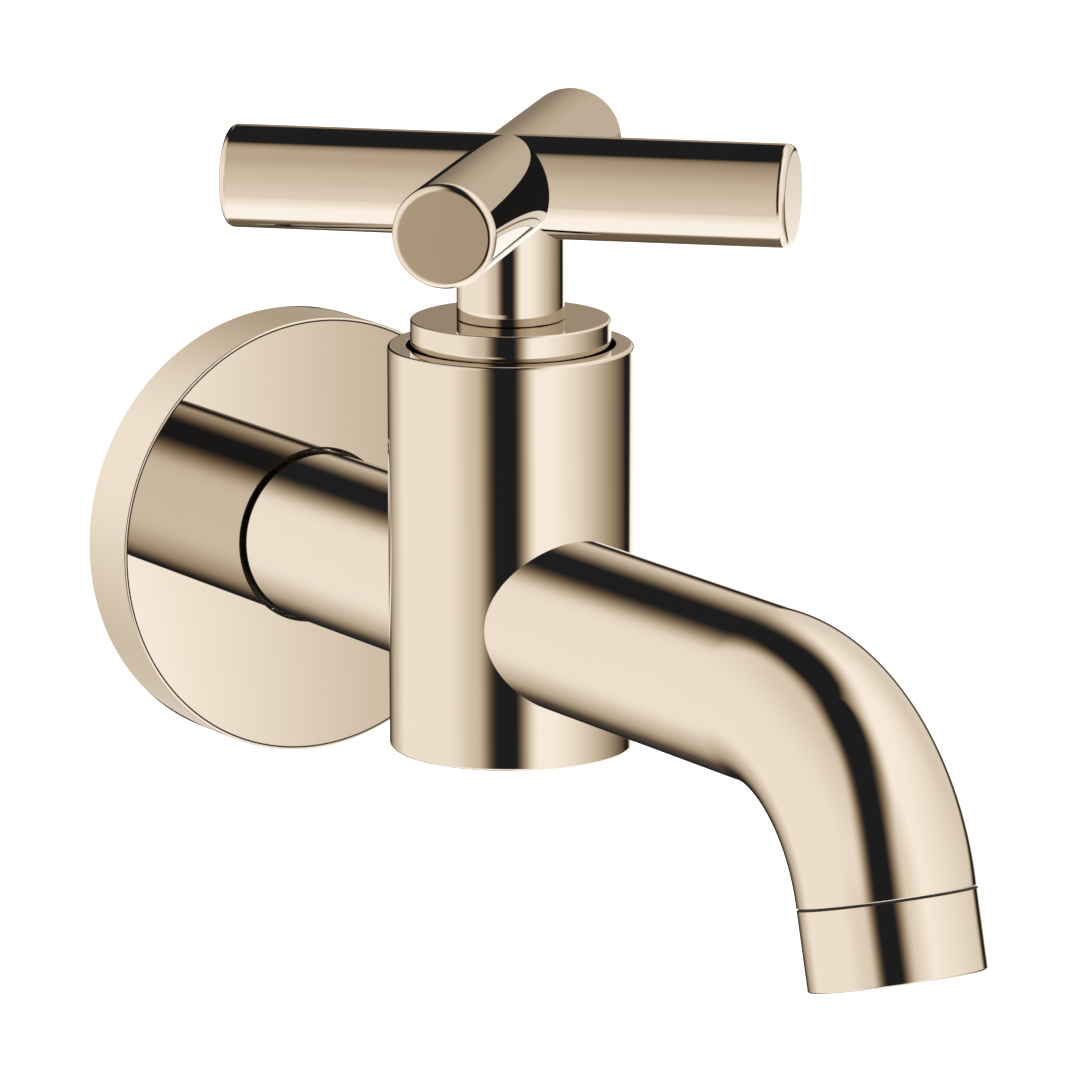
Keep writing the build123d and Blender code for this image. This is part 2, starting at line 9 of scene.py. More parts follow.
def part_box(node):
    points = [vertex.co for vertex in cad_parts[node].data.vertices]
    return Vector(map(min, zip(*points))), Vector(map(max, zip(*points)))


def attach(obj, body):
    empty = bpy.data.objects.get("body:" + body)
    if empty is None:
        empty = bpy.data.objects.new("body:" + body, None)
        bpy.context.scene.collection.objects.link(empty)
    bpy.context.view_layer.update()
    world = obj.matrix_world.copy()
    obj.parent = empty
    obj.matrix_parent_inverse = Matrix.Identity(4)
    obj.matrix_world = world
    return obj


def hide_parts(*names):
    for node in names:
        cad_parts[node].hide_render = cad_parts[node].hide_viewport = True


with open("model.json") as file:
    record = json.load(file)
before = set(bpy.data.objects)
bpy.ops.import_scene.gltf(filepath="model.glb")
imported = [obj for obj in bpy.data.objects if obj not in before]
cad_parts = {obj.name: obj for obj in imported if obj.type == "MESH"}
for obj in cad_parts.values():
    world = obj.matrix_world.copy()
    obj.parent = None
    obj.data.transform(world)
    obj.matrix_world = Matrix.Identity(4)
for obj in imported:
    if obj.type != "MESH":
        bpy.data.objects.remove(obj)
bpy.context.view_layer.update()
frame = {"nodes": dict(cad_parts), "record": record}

# The looks of a wall-mounted basin tap: polished champagne-coloured metal on a G 1/2 brass nipple.
# Lengths are millimetres, in the tap's own frame: wall plane Y = 0, +Z up. Materials count in metres.

MM = 0.001
RIGHT = np.array([1, 0, 0])
INTO_WALL = np.array([0, 1, 0])
UP = np.array([0, 0, 1])


# Sizes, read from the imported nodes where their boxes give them


def box_mm(node):
    """Lowest and highest corner of a node, in millimetres."""
    low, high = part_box(node)
    return np.array(low) / MM, np.array(high) / MM


def radius_across_x(node):
    """Radius of a round node whose widest section lies across X."""
    low, high = box_mm(node)
    return (high[0] - low[0]) / 2


body_low, body_high = box_mm("valve_body")
collar_low, collar_high = box_mm("collar")
stem_low, _ = box_mm("handle_stem")
cross_low, cross_high = box_mm("handle_cross")
rosette_low, rosette_high = box_mm("wall_rosette")
_, pipe_high = box_mm("inlet_pipe")
nipple_low, nipple_high = box_mm("wall_nipple")
ring_low, ring_high = box_mm("nipple_o_ring")
gasket_low, gasket_high = box_mm("rosette_gasket")

body_radius = radius_across_x("valve_body")
body_axis_y = (body_low[1] + body_high[1]) / 2
body_bottom = body_low[2]
body_top = body_high[2]
body_edge = 0.4
recess_radius = 12.95
recess_lip_radius = 12.75
recess_lip_depth = 3.0
recess_depth = 10.0
thread_bore_radius = 8.43
chamber_radius = 7.5
body_floor = 4.0

collar_radius = radius_across_x("collar")
collar_bottom = collar_low[2]
collar_top = collar_high[2]
collar_edge = 0.25
collar_haze_above_body = 0.7
collar_bore_radius = 9.5
collar_hole_radius = 4.6
collar_plate = 3.0

stem_radius = radius_across_x("handle_stem")
stem_lowered = 0.24
stem_bottom = stem_low[2] - stem_lowered
stem_haze_height = 1.5
pocket_radius = 5.25
pocket_top = 44.1
screw_hole_radius = 2.1
bar_radius = (cross_high[2] - cross_low[2]) / 2
bar_height = (cross_high[2] + cross_low[2]) / 2
bar_half_length = 34.95
bar_edge = 0.9
front_bar_angle = 45.0
side_bar_angle = 135.0
front_bar_mirror_from = 210
side_bar_mirror_from = 200
bar_overlap = 0.1

pipe_radius = radius_across_x("inlet_pipe")
pipe_end_y = pipe_high[1]
pipe_bore_radius = 8.0
pipe_end_in_body = 7.6

rosette_radius = radius_across_x("wall_rosette")
rosette_thickness = rosette_high[1] - rosette_low[1]
rosette_edge = 0.3
rosette_painted_line_width = 0.2
rosette_play = 0.25
rosette_hole_radius = pipe_radius + rosette_play
rosette_bore_wall = 0.3
rosette_plate = 2.0
rosette_rim = 3.0
rosette_boss_wall = 3.0
rosette_boss_length = 5.0
gasket_rebate = 1.5
gasket_thickness = gasket_high[1] - gasket_low[1]
gasket_width = 3.4
foam_edge = 0.3

nipple_radius = radius_across_x("wall_nipple")
nipple_end_y = nipple_high[1]
nipple_near_y = nipple_low[1]
nipple_key_size = 10.0
nipple_shoulder_y = -1.95
# G 1/2 has 14 turns to the inch
thread_pitch = 1.814
thread_depth = 1.162
thread_flatness = 1.35
thread_rows = 14
thread_run_out = 1.5
thread_start_drop = 0.2
thread_neck_rise = 0.25
thread_start_radius = nipple_radius - thread_depth - thread_start_drop
thread_neck_radius = nipple_radius - thread_depth + thread_neck_rise
spigot_radius = 9.0
groove_radius = 7.45
groove_play = 0.15

spout_radius = radius_across_x("spout_tube")
spout_bore_radius = 8.35
spout_straight_run = 57.5
spout_bend_radius = 24.6
spout_bend_angle = radians(75.5)
spout_end_run = 0.4
spout_thread_radius = 9.35
spout_thread_length = 3.4
spout_root_depth = 1.0
aerator_seam = 0.2
seam_shade_depth = 0.6
aerator_length = 9.8
aerator_edge = 0.3
aerator_shoulder = 5.45
aerator_play = 0.1
aerator_outlet_radius = 8.15

fine_edge = 0.12
shortest_flat = 1e-6
sew_distance = 1e-5
fine_columns = 192
bar_columns = 144
stem_columns = 160
nipple_columns = 144
bend_rows = 72
bar_edge_rows = 8
stem_top_rows = 12
window_rows = 5
window_half = 8


# Outlines and surfaces


def strip(start, end, normal):
    """One straight piece of an outline, with its normal at both ends."""
    return np.array([start, end]), np.array([normal, normal])


def outline(*corners, steps=7):
    """A closed outline in (radius, height), run anticlockwise, as pieces of points with their normals.

    A corner is (radius, height) where it is sharp, or (radius, height, fillet) where it is rounded.
    """
    points = [np.array(corner[:2], float) for corner in corners]
    fillets = [corner[2] if len(corner) > 2 else 0.0 for corner in corners]
    count = len(points)
    starts, ends, arcs = [], [], []
    for place in range(count):
        here = points[place]
        coming = here - points[place - 1]
        going = points[(place + 1) % count] - here
        coming /= np.linalg.norm(coming)
        going /= np.linalg.norm(going)
        first = np.array([coming[1], -coming[0]])
        turn = np.arctan2(coming[0] * going[1] - coming[1] * going[0], coming @ going)
        reach = abs(fillets[place] * tan(turn / 2))
        ends.append(here - coming * reach)
        starts.append(here + going * reach)
        if fillets[place]:
            side = 1 if turn > 0 else -1
            centre = ends[-1] - side * fillets[place] * first
            turns = np.linspace(0, turn, steps)
            normals = np.stack([first[0] * np.cos(turns) - first[1] * np.sin(turns),
                                first[0] * np.sin(turns) + first[1] * np.cos(turns)], axis=1)
            arcs.append((centre + side * fillets[place] * normals, normals))
        else:
            arcs.append(None)
    pieces = []
    for place in range(count):
        if arcs[place]:
            pieces.append(arcs[place])
        start, end = starts[place], ends[(place + 1) % count]
        length = np.linalg.norm(end - start)
        if length > shortest_flat:
            along = (end - start) / length
            pieces.append(strip(start, end, [along[1], -along[0]]))
    return pieces


def around(columns):
    """Evenly spaced angles round a full turn, the last one back at the first."""
    return np.linspace(0, 2 * pi, columns + 1)


def spokes_at(angles, across=RIGHT, up=INTO_WALL):
    """Directions at angles from across towards up, or round the Z axis where these are left out."""
    return np.cos(angles)[:, None] * across + np.sin(angles)[:, None] * up


def upright(points):
    """Coordinates built up the Z axis, carried to the valve body's axis."""
    return points + np.array([0, body_axis_y, 0])


def as_built(vectors):
    """Directions built up the Z axis stay as they are on the valve body's axis."""
    return vectors


def out_of_wall(points):
    """Coordinates built up the Z axis, laid along -Y from the wall."""
    return np.stack([points[..., 0], -points[..., 2], points[..., 1]], axis=-1)


def spout_frame(turn):
    """Centre, upward and forward direction of the spout at an angle round its bend."""
    start = body_axis_y - spout_straight_run
    centre = np.array([0, start - spout_bend_radius * sin(turn), -spout_bend_radius * (1 - cos(turn))])
    up = np.array([0, -sin(turn), cos(turn)])
    forward = np.array([0, -cos(turn), -sin(turn)])
    return centre, up, forward


def at_spout_end(points):
    """Coordinates built up the Z axis, carried to the end face of the spout, Z along the flow."""
    centre, _, forward = spout_frame(spout_bend_angle)
    return centre + forward * spout_end_run + along_flow(points)


def along_flow(vectors):
    """Directions built up the Z axis, turned to the flow at the end of the spout."""
    _, up, forward = spout_frame(spout_bend_angle)
    return vectors[..., :1] * RIGHT + vectors[..., 1:2] * up + vectors[..., 2:] * forward


def grid_faces(rows, columns, first=0):
    """Four-sided faces over a grid of points, the first of which has the number given."""
    index = np.arange(rows * columns).reshape(rows, columns) + first
    corners = (index[:-1, :-1], index[1:, :-1], index[1:, 1:], index[:-1, 1:])
    return np.stack([corner.ravel() for corner in corners], axis=1)


class Surface:
    """Patches of a surface with their true normals, sewn into one closed mesh."""

    def __init__(self):
        self.points = []
        self.normals = []
        self.faces = []
        self.finishes = []
        self.count = 0

    def patch(self, points, normals, finish=0):
        """Add a grid of points, rows by columns, as four-sided faces with one finish."""
        points = np.asarray(points, float)
        self.faces.append(grid_faces(*points.shape[:2], self.count))
        self.finishes.append(np.full(len(self.faces[-1]), finish))
        self.points.append(points.reshape(-1, 3))
        self.normals.append(np.broadcast_to(normals, points.shape).reshape(-1, 3))
        self.count += len(self.points[-1])

    def turned(self, pieces, place, direction, finish=lambda radius, height: 0, columns=fine_columns):
        """Add the surface that an outline sweeps round the Z axis, then carried to its place."""
        spokes = spokes_at(around(columns))
        for pair in pieces:
            points, normals = [flat[:, None, :1] * spokes + flat[:, None, 1:] * UP for flat in pair]
            self.patch(place(points), direction(normals), finish(*pair[0].mean(axis=0)))

    def mesh(self, name):
        """The sewn mesh: equal points joined, faces turned outwards, true normals at each corner."""
        points = np.concatenate(self.points)
        normals = np.concatenate(self.normals)
        faces = np.concatenate(self.faces)
        grid = np.round(points / sew_distance).astype(np.int64)
        _, first, joined = np.unique(grid, axis=0, return_index=True, return_inverse=True)
        joined = joined.reshape(-1)
        corners = points[faces]
        facing = np.cross(corners[:, 2] - corners[:, 0], corners[:, 3] - corners[:, 1])
        inwards = (facing * normals[faces].mean(axis=1)).sum(axis=1) < 0
        faces[inwards] = faces[inwards][:, ::-1]
        polygons, split, finishes = [], [], []
        for face, finish in zip(faces, np.concatenate(self.finishes)):
            kept = [here for here, before in zip(face, np.roll(face, 1)) if joined[here] != joined[before]]
            if len(kept) > 2:
                polygons.append([int(joined[corner]) for corner in kept])
                split.extend(normals[kept])
                finishes.append(int(finish))
        mesh = bpy.data.meshes.new(name)
        mesh.from_pydata((points[first] * MM).tolist(), [], polygons)
        mesh.polygons.foreach_set("use_smooth", [True] * len(polygons))
        mesh.polygons.foreach_set("material_index", finishes)
        mesh.update()
        mesh.normals_split_custom_set(np.asarray(split).tolist())
        return mesh


def add_object(name, data):
    """A new object in the scene."""
    made = bpy.data.objects.new(name, data)
    bpy.context.scene.collection.objects.link(made)
    return made


def piece(name, surface, body, stands_for, slot="champagne_metal", finishes=()):
    """Make a surface into a piece that stands for a CAD node and rides on its body."""
    made = add_object(name, surface.mesh(name))
    for finish in finishes or (slot,):
        made.data.materials.append(materials[finish])
    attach(made, body)
    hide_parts(stands_for)
    return made


# Materials


metal_colour = (0.76, 0.68, 0.575)
metal_drift = (0.992, 1.008)
# Colour of metal that mirrors no light; the side bar also glows in it to glossy rays, as a painted dark
# reflection
unlit_metal = (0.0125, 0.0123, 0.0123)


def node(tree, kind, **values):
    """A node with its properties set by name, and its inputs set or linked by name."""
    made = tree.nodes.new(kind)
    for name, value in values.items():
        socket = made.inputs.get(name.replace("_", " "))
        if socket is None:
            setattr(made, name, value)
        elif isinstance(value, bpy.types.NodeSocket):
            tree.links.new(value, socket)
        else:
            socket.default_value = value
    return made


def ramp(tree, fraction, stops):
    """A colour ramp through colours at their places, the first at 0 and the last at 1."""
    made = node(tree, "ShaderNodeValToRGB", Fac=fraction)
    elements = made.color_ramp.elements
    for place, _ in stops[1:-1]:
        elements.new(place)
    for element, (_, colour) in zip(elements, stops):
        element.color = (*colour, 1)
    return made.outputs["Color"]


def mixed_shader(tree, fraction, usual, other):
    """The usual shader where the fraction is 0, and the other where it is 1."""
    mixed = node(tree, "ShaderNodeMixShader")
    for socket, given in zip(mixed.inputs, (fraction, usual, other)):
        tree.links.new(given, socket)
    return mixed.outputs["Shader"]


def see_through(tree):
    """A shader that lets light pass."""
    return node(tree, "ShaderNodeBsdfTransparent").outputs["BSDF"]


class Finish:
    """A procedural material, worked out over the object's own coordinates."""

    def __init__(self, name, **values):
        self.material = bpy.data.materials.new(name)
        self.material.use_nodes = True
        self.tree = self.material.node_tree
        self.shader = self.tree.nodes["Principled BSDF"]
        self.seen = self.shader.outputs["BSDF"]
        for socket, value in values.items():
            self.shader.inputs[socket.replace("_", " ")].default_value = value

    def point(self):
        """The point on the object, in metres."""
        return node(self.tree, "ShaderNodeTexCoord").outputs["Object"]

    def noise(self, scale, detail=3.0, stretch=(1, 1, 1)):
        """Noise over the object, in cycles per metre, finer along an axis that is stretched."""
        place = node(self.tree, "ShaderNodeMapping", Vector=self.point(), Scale=stretch).outputs[0]
        made = node(self.tree, "ShaderNodeTexNoise", Vector=place, Scale=scale, Detail=detail)
        return made.outputs["Fac"]

    def tint(self, fraction, *colours):
        """Base colour that runs through the colours with the fraction."""
        stops = [(place / (len(colours) - 1), colour) for place, colour in enumerate(colours)]
        self.tree.links.new(ramp(self.tree, fraction, stops), self.shader.inputs["Base Color"])

    def roughness(self, fraction, low, high):
        """Roughness that runs from low to high with the fraction."""
        mapped = node(self.tree, "ShaderNodeMapRange", Value=fraction, To_Min=low, To_Max=high)
        self.tree.links.new(mapped.outputs["Result"], self.shader.inputs["Roughness"])

    def relief(self, fraction, depth, strength):
        """Relief of a depth in metres, under the shader's normal."""
        made = node(self.tree, "ShaderNodeBump", Height=fraction, Strength=strength, Distance=depth)
        self.tree.links.new(made.outputs["Normal"], self.shader.inputs["Normal"])

    def show(self, shader):
        """Put a shader on the surface."""
        self.seen = shader
        self.tree.links.new(shader, self.tree.nodes["Material Output"].inputs["Surface"])

    def shown_as(self, ray, other):
        """Show another shader to one kind of ray."""
        path = node(self.tree, "ShaderNodeLightPath")
        self.show(mixed_shader(self.tree, path.outputs[ray], self.seen, other))

    def unseen_in_mirrors(self):
        """Let a sharp reflection pass through the metal, as if the set were lit round it."""
        self.shown_as("Is Singular Ray", see_through(self.tree))


def champagne(name, **values):
    """Metal with a pale warm tint that drifts faintly."""
    made = Finish(name, Metallic=1.0, **values)
    shades = [tuple(share * value for value in metal_colour) for share in metal_drift]
    made.tint(made.noise(scale=55), *shades)
    return made


def champagne_metal():
    """Mirror-polished metal."""
    return champagne("champagne_metal", Roughness=0.0)


def champagne_mirror():
    """The same mirror polish on the ends and edges of the handle and collar."""
    made = champagne("champagne_mirror", Roughness=0.0)
    made.unseen_in_mirrors()
    return made


def hazy_polish(name):
    """Polish with a trace of haze from buffing."""
    made = champagne(name)
    made.roughness(made.noise(scale=420, detail=5), low=0.012, high=0.03)
    return made


def champagne_haze():
    """The hand-held parts, collar and body rim."""
    made = hazy_polish("champagne_haze")
    made.unseen_in_mirrors()
    return made


def champagne_side():
    """The bar that lies across the picture. To glossy rays it shows a flat dark glow, a painted dark
    reflection that the other bar mirrors.
    """
    made = hazy_polish("champagne_side")
    # Painted dark reflection: a glow in the colour of unlit metal stands in for the bar wherever it is
    # mirrored
    dark = node(made.tree, "ShaderNodeEmission", Color=(*unlit_metal, 1))
    made.shown_as("Is Glossy Ray", dark.outputs["Emission"])
    made.unseen_in_mirrors()
    return made


def champagne_painted_shade():
    """Dull metal whose dark colour is painted shade, for the seams, the rosette's bore and its edge line.
    """
    made = Finish("champagne_painted_shade", Metallic=1.0, Roughness=0.6)
    made.tint(made.noise(scale=600), (0.03, 0.024, 0.02), (0.06, 0.05, 0.04))
    return made


def bare_brass():
    """Turned brass: fine tool rings round the thread and a little tarnish."""
    made = Finish("bare_brass", Metallic=1.0)
    made.tint(made.noise(scale=160, detail=4), (0.62, 0.44, 0.18), (0.80, 0.62, 0.32))
    made.roughness(made.noise(scale=900, detail=4), low=0.18, high=0.38)
    made.relief(made.noise(scale=240, detail=2, stretch=(1, 40, 1)), depth=0.00001, strength=0.6)
    return made


def stainless_steel():
    """Plain steel, slightly cloudy."""
    made = Finish("stainless_steel", Metallic=1.0)
    made.tint(made.noise(scale=300), (0.52, 0.52, 0.52), (0.66, 0.66, 0.65))
    made.roughness(made.noise(scale=1500, detail=4), low=0.18, high=0.34)
    return made


def black_rubber():
    """Matt black rubber with a dusty bloom."""
    made = Finish("black_rubber", Specular_IOR_Level=0.4)
    made.tint(made.noise(scale=500, detail=5), (0.012, 0.012, 0.012), (0.035, 0.034, 0.033))
    made.roughness(made.noise(scale=1200), low=0.5, high=0.75)
    made.relief(made.noise(scale=4000, detail=4), depth=0.00002, strength=0.5)
    return made


def grey_foam():
    """Closed-cell foam: round pores of about half a millimetre."""
    made = Finish("grey_foam", Roughness=0.9)
    pores = node(made.tree, "ShaderNodeTexVoronoi", Vector=made.point(), Scale=1900.0).outputs["Distance"]
    made.tint(pores, (0.03, 0.03, 0.032), (0.085, 0.085, 0.09), (0.1, 0.1, 0.105))
    made.relief(pores, depth=0.00015, strength=0.8)
    return made


def white_ceramic():
    """Lapped ceramic, almost plain, with a faint grain."""
    made = Finish("white_ceramic", Roughness=0.14)
    made.tint(made.noise(scale=3000, detail=4), (0.84, 0.83, 0.79), (0.93, 0.92, 0.89))
    return made


def pale_plastic():
    """Moulded plastic, pale grey, with the fine texture of its mould."""
    made = Finish("pale_plastic")
    made.tint(made.noise(scale=250, detail=3), (0.70, 0.70, 0.68), (0.78, 0.78, 0.76))
    made.roughness(made.noise(scale=2500), low=0.3, high=0.45)
    made.relief(made.noise(scale=5000, detail=3), depth=0.00001, strength=0.5)
    return made


materials = {
    make.__name__: make().material
    for make in (champagne_metal, champagne_mirror, champagne_haze, champagne_side, champagne_painted_shade,
                 bare_brass, stainless_steel, black_rubber, grey_foam, white_ceramic, pale_plastic)
}
handle_finishes = ("champagne_haze", "champagne_mirror")
side_bar_finishes = ("champagne_side", "champagne_mirror")
# The second finish of these pieces is painted shade in their seams and gaps and along the rosette's edge
painted_shade_finishes = ("champagne_metal", "champagne_painted_shade")


def dress_nodes():
    """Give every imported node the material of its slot, and keep what is inside out of reflections."""
    for part in frame["record"]["subparts"]:
        inside = frame["nodes"][part["node"]]
        inside.data.materials.clear()
        inside.data.materials.append(materials[part["material_slot"]])
        inside.visible_glossy = False


# Pieces of polished metal


def body_shell():
    """Upright body with the stepped bore for the headwork."""
    surface = Surface()
    recess_floor = body_top - recess_depth
    surface.turned(outline(
        (0, body_bottom),
        (body_radius, body_bottom, body_edge),
        (body_radius, body_top, body_edge),
        (body_radius - body_edge, body_top),
        (body_radius - body_edge, recess_floor),
        (thread_bore_radius, recess_floor),
        (thread_bore_radius, 0),
        (chamber_radius, 0),
        (chamber_radius, body_bottom + body_floor),
        (0, body_bottom + body_floor),
    ), upright, as_built)
    piece("body_shell", surface, "tap", "valve_body")


def body_rim():
    """Top face of the body and the wall of the collar's recess, with a lip at its mouth."""
    surface = Surface()
    surface.turned(outline(
        (recess_radius, body_top - recess_depth),
        (body_radius - body_edge, body_top - recess_depth),
        (body_radius - body_edge, body_top),
        (recess_lip_radius, body_top, fine_edge),
        (recess_lip_radius, body_top - recess_lip_depth),
        (recess_radius, body_top - recess_lip_depth),
    ), upright, as_built)
    piece("body_rim", surface, "tap", "valve_body", finishes=("champagne_haze",))


def collar_ring():
    """Collar round the spindle, standing in the body's recess."""
    surface = Surface()
    plate_bottom = collar_top - collar_plate
    bright_from = body_top + collar_haze_above_body
    surface.turned(outline(
        (collar_bore_radius, collar_bottom),
        (collar_radius, collar_bottom),
        (collar_radius, bright_from),
        (collar_radius, collar_top, collar_edge),
        (collar_hole_radius, collar_top, fine_edge),
        (collar_hole_radius, plate_bottom),
        (collar_bore_radius, plate_bottom),
    ), upright, as_built,
        lambda radius, height: radius > collar_radius - collar_edge and height > bright_from)
    piece("collar_ring", surface, "tap", "collar", finishes=handle_finishes)


def rosette_bore():
    """Front wall of the rosette's hole, a hair's breadth round the pipe, all in painted shade so that the
    gap shows dark.
    """
    surface = Surface()
    plate_back = rosette_thickness - rosette_plate
    surface.turned(outline(
        (rosette_hole_radius, plate_back),
        (rosette_hole_radius + rosette_bore_wall, plate_back),
        (rosette_hole_radius + rosette_bore_wall, rosette_thickness),
        (rosette_hole_radius, rosette_thickness, fine_edge),
    ), out_of_wall, out_of_wall)
    piece("rosette_bore", surface, "rosette", "wall_rosette", finishes=("champagne_painted_shade",))


def rosette_cover():
    """Round cover plate, hollow behind, with the boss that grips the pipe. A thin ring of its face beside
    the rounded edge is a painted dark line.
    """
    surface = Surface()
    plate_back = rosette_thickness - rosette_plate
    rim_radius = rosette_radius - rosette_rim
    boss_radius = rosette_hole_radius + rosette_boss_wall
    boss_end = plate_back - rosette_boss_length
    inner_radius = rosette_hole_radius + rosette_bore_wall
    painted_line_radius = rosette_radius - rosette_edge - rosette_painted_line_width
    surface.turned(outline(
        (inner_radius, boss_end),
        (boss_radius, boss_end, fine_edge),
        (boss_radius, plate_back),
        (rim_radius, plate_back),
        (rim_radius, gasket_thickness),
        (rim_radius + gasket_rebate, gasket_thickness),
        (rim_radius + gasket_rebate, 0),
        (rosette_radius, 0, fine_edge),
        (rosette_radius, rosette_thickness, rosette_edge),
        (painted_line_radius, rosette_thickness),
        (inner_radius, rosette_thickness),
    ), out_of_wall, out_of_wall,
        # Painted dark line: the ring of the face just inside the rounded edge
        lambda radius, height: painted_line_radius < radius < rosette_radius - rosette_edge and height > plate_back)
    piece("rosette_cover", surface, "rosette", "wall_rosette", finishes=painted_shade_finishes)


def inlet_tube():
    """Inlet pipe from the wall into the body's wall, where its end is hidden."""
    surface = Surface()
    start, end = -pipe_end_y, -(body_axis_y + pipe_end_in_body)
    surface.turned(outline(
        (pipe_bore_radius, start),
        (pipe_radius, start, fine_edge),
        (pipe_radius, end),
        (pipe_bore_radius, end),
    ), out_of_wall, out_of_wall)
    piece("inlet_tube", surface, "tap", "inlet_pipe")


def spout_arm():
    """Round spout: out of the body, round the bend and down to the seam above the aerator."""
    surface = Surface()
    angles = around(fine_columns)
    level = spokes_at(angles, RIGHT, UP)
    across = spout_radius * np.cos(angles)
    root_y = body_axis_y - (np.sqrt(body_radius ** 2 - across ** 2) - spout_root_depth)
    roots = []
    for radius, side in ((spout_radius, 1), (spout_bore_radius, -1)):
        roots.append(radius * level)
        roots[-1][:, 1] = root_y
        rows, normals = [roots[-1]], [side * level]
        for turn in np.linspace(0, spout_bend_angle, bend_rows):
            centre, up, forward = spout_frame(turn)
            outward = spokes_at(angles, RIGHT, up)
            rows.append(centre + radius * outward)
            normals.append(side * outward)
        run = spout_end_run - fine_edge if side > 0 else spout_end_run
        rows.append(rows[-1] + forward * run)
        normals.append(normals[-1])
        surface.patch(rows, normals)
    surface.patch(roots[::-1], INTO_WALL)
    end = outline(
        (spout_bore_radius, -1),
        (spout_radius, -1),
        (spout_radius, 0, fine_edge),
        (spout_thread_radius, 0),
        (spout_thread_radius, spout_thread_length),
        (spout_bore_radius, spout_thread_length),
    )[2:6]
    bore_end = strip((spout_bore_radius, spout_thread_length), (spout_bore_radius, 0), (-1, 0))
    # The end face inside the seam, the thread and the bore's end are painted shade, so that the seam shows
    # dark
    surface.turned([*end, bore_end], at_spout_end, along_flow,
                   lambda radius, height: radius < spout_radius - fine_edge)
    piece("spout_arm", surface, "tap", "spout_tube", finishes=painted_shade_finishes)


def aerator_sleeve():
    """Outer ring of the aerator below the seam; its face in the seam and its inside are painted shade."""
    surface = Surface()
    thread_radius_inside = spout_thread_radius + aerator_play
    surface.turned(outline(
        (thread_radius_inside, aerator_seam),
        (spout_radius, aerator_seam, fine_edge),
        (spout_radius, aerator_length, aerator_edge),
        (aerator_outlet_radius, aerator_length, fine_edge),
        (aerator_outlet_radius, aerator_shoulder),
        (thread_radius_inside, aerator_shoulder),
    ), at_spout_end, along_flow,
        # Painted shade on the face in the seam and on the inside of the ring
        lambda radius, height: height < seam_shade_depth or radius < spout_radius and height < aerator_shoulder)
    piece("aerator_sleeve", surface, "tap", "aerator_ring", finishes=painted_shade_finishes)


def cross_bar(name, degrees, finishes, mirror_from):
    """One round bar of the cross with rounded ends, its underside and ends in the second finish.

    The underside starts at an angle round the bar, measured from level.
    """
    surface = Surface()
    angles = around(bar_columns)
    low_first = bar_columns * mirror_from // 360
    low_last = bar_columns + bar_columns // 2 - low_first
    sectors = ((slice(0, low_first + 1), 0), (slice(low_first, low_last + 1), 1),
               (slice(low_last, bar_columns + 1), 0))
    centre = np.array([0, body_axis_y, bar_height])
    arc = np.linspace(0, pi / 2, bar_edge_rows)
    turn = radians(degrees)
    across = np.array([-sin(turn), cos(turn), 0])
    outward = spokes_at(angles, across, UP)
    shoulders = []
    for side in (-1, 1):
        along = side * np.array([cos(turn), sin(turn), 0])
        shoulder = centre + along * (bar_half_length - bar_edge)
        shoulders.append(shoulder + bar_radius * outward)
        rows = [shoulder + (bar_radius - bar_edge * (1 - cos(a))) * outward + along * bar_edge * sin(a)
                for a in arc]
        surface.patch(rows, [outward * cos(a) + along * sin(a) for a in arc], 1)
        rim = centre + (bar_radius - bar_edge) * outward + along * bar_half_length
        middle = np.broadcast_to(centre + along * bar_half_length, rim.shape)
        surface.patch([rim, middle], along, 1)
    for sector, finish in sectors:
        surface.patch([shoulders[0][sector], shoulders[1][sector]], [outward[sector]] * 2, finish)
    piece(name, surface, "handle", "handle_cross", finishes=finishes)


def bars_above(points):
    """Height, just inside the crossing bars, of their underside above points round the body's axis."""
    turn = radians(front_bar_angle)
    x, y = points[:, 0], points[:, 1]
    to_bars = np.minimum(np.abs(-x * sin(turn) + y * cos(turn)), np.abs(x * cos(turn) + y * sin(turn)))
    return bar_height - np.sqrt(bar_radius ** 2 - to_bars ** 2) + bar_overlap


def stem_sleeve():
    """Sleeve under the bars, shaped to them on top, with the grub screw's hole on the wall side."""
    surface = Surface()
    spokes = spokes_at(around(stem_columns))
    bottom = outline((pocket_radius, stem_bottom), (stem_radius, stem_bottom, fine_edge),
                     (stem_radius, pocket_top), (0, pocket_top), (pocket_radius, pocket_top))[:2]
    pocket = strip((pocket_radius, stem_bottom), (pocket_radius, pocket_top), (-1, 0))
    roof = strip((pocket_radius, pocket_top), (0, pocket_top), (0, -1))
    surface.turned([*bottom, pocket, roof], upright, as_built, columns=stem_columns)
    # The wall has a square window of faces that is filled round the screw's hole
    screw_height = (stem_bottom + pocket_top) / 2
    step = 2 * pi * stem_radius / stem_columns
    levels = screw_height + step * np.arange(-window_half, window_half + 1)
    bright_from = stem_bottom + stem_haze_height
    wall = upright(stem_radius * spokes)

    def rise(low, high, use=slice(None)):
        """Wall between two heights, each a number or one per column."""
        ends = [wall[use] + np.outer(np.broadcast_to(height, len(wall))[use], UP) for height in (low, high)]
        surface.patch(ends, spokes[use], int(np.min(low) >= bright_from))

    rise(stem_bottom + fine_edge, bright_from)
    rise(bright_from, levels[0])
    rise(levels[-1], bars_above(stem_radius * spokes))
    wall_side = stem_columns // 4
    for beside_window in (slice(0, wall_side - window_half + 1), slice(wall_side + window_half, None)):
        for low, high in zip(levels[:-1], levels[1:]):
            rise(low, high, beside_window)
    screw_hole(surface, step, screw_height)
    disc = [stem_radius * share * spokes for share in np.linspace(1, 0, stem_top_rows)]
    surface.patch([upright(circle) + np.outer(bars_above(circle), UP) for circle in disc], UP)
    piece("stem_sleeve", surface, "handle", "handle_stem", finishes=handle_finishes)


